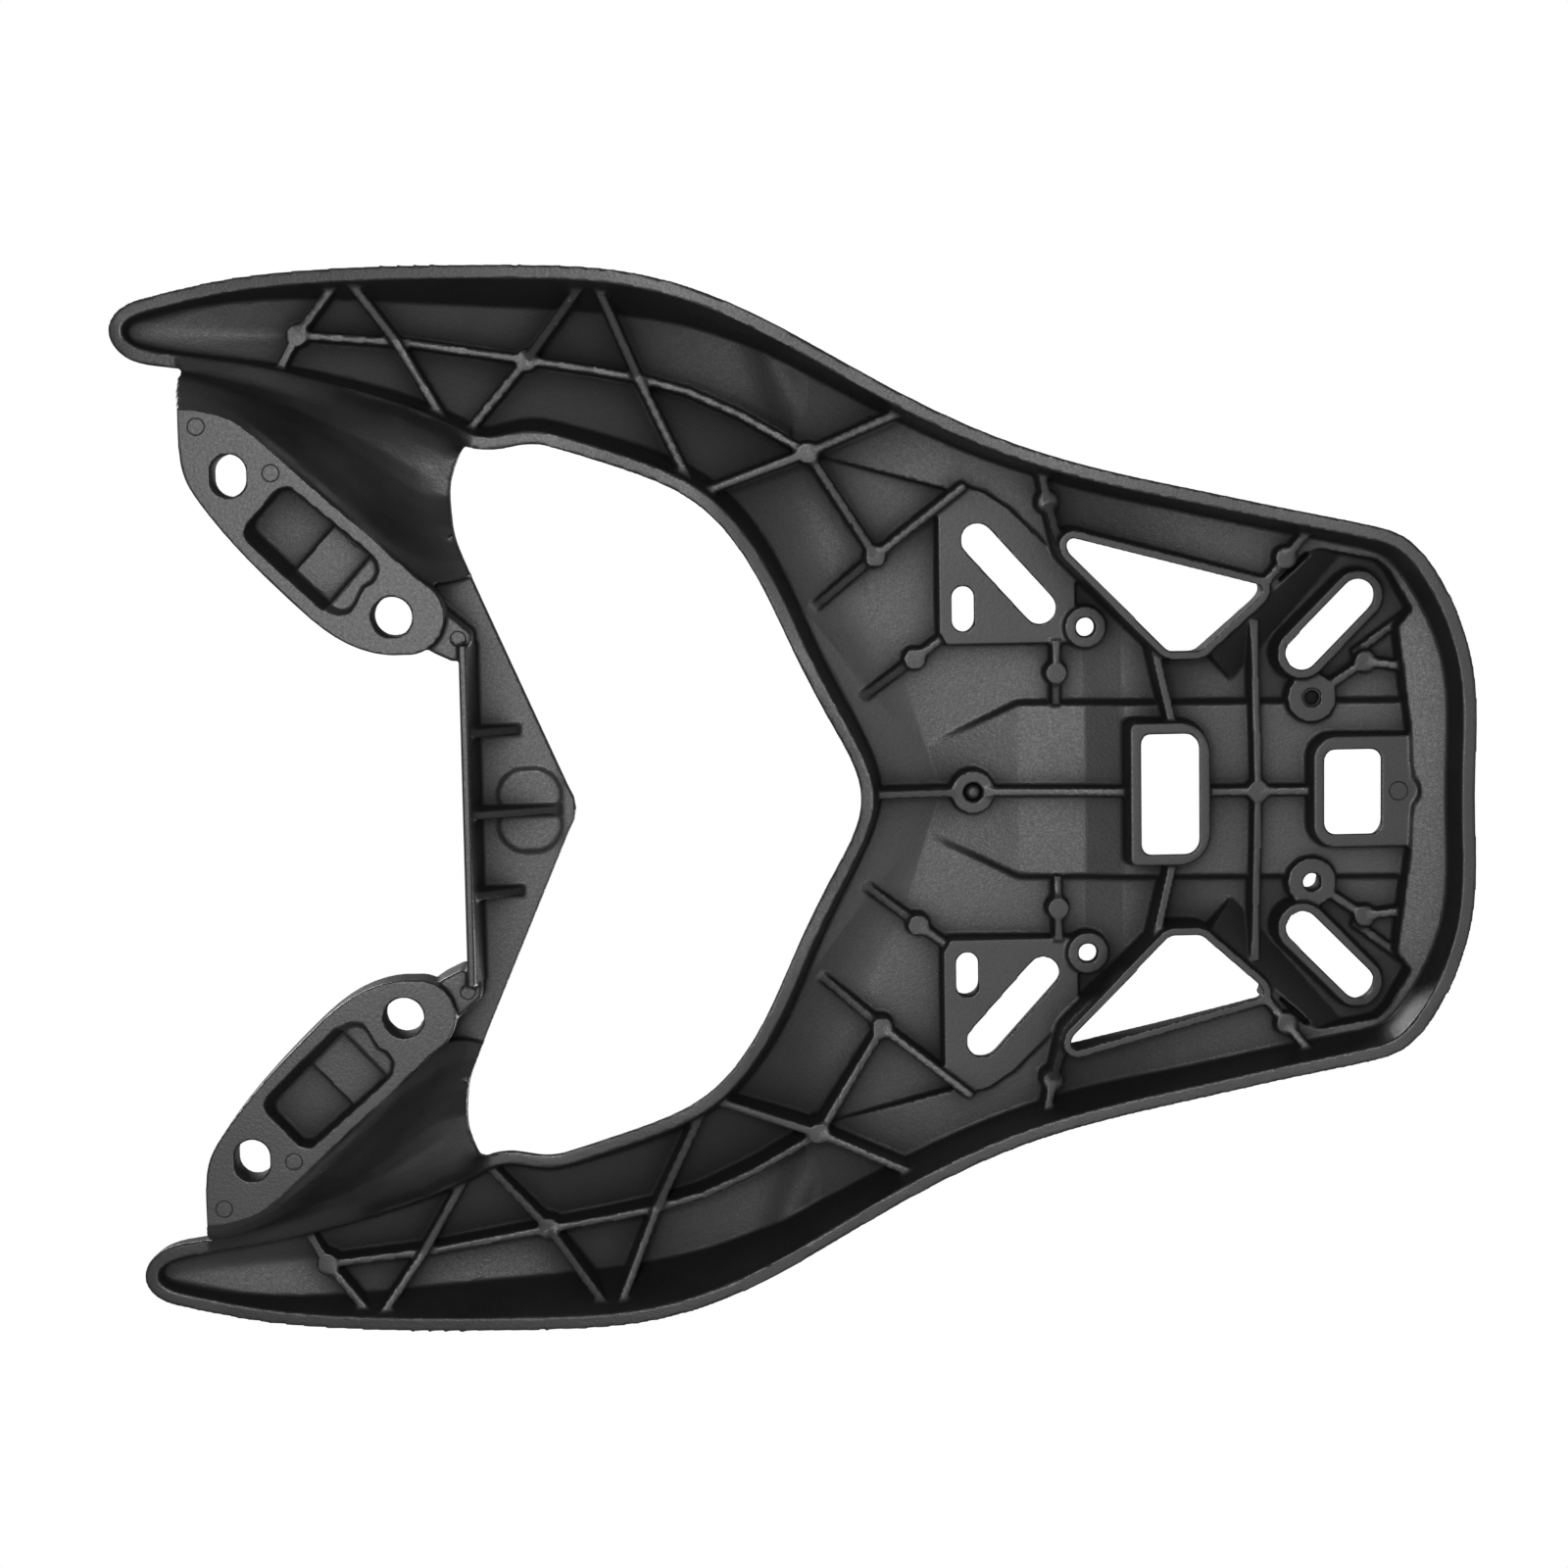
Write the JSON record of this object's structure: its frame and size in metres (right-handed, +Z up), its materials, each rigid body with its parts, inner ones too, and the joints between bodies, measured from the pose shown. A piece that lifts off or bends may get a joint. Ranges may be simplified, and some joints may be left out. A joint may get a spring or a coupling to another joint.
{
  "type": "motorcycle luggage rack",
  "caption": "Cast motorcycle tail rack seen from below: ribbed hollow arms curve round the seat to a slotted platform, on angled bolt-on feet joined by a pointed bridge plate.",
  "frame": {"origin": "midway between the two front foot holes, on the plane that the feet are bolted down on", "axes": "+X to the motorcycle's tail, +Y to the rider's right, +Z up in use"},
  "size_m": [0.377, 0.302, 0.052],
  "materials": {
    "casting": "satin black powder coat with a fine grain"
  },
  "bodies": {
    "root": {"rack_casting": "casting"}
  },
  "joints": []
}
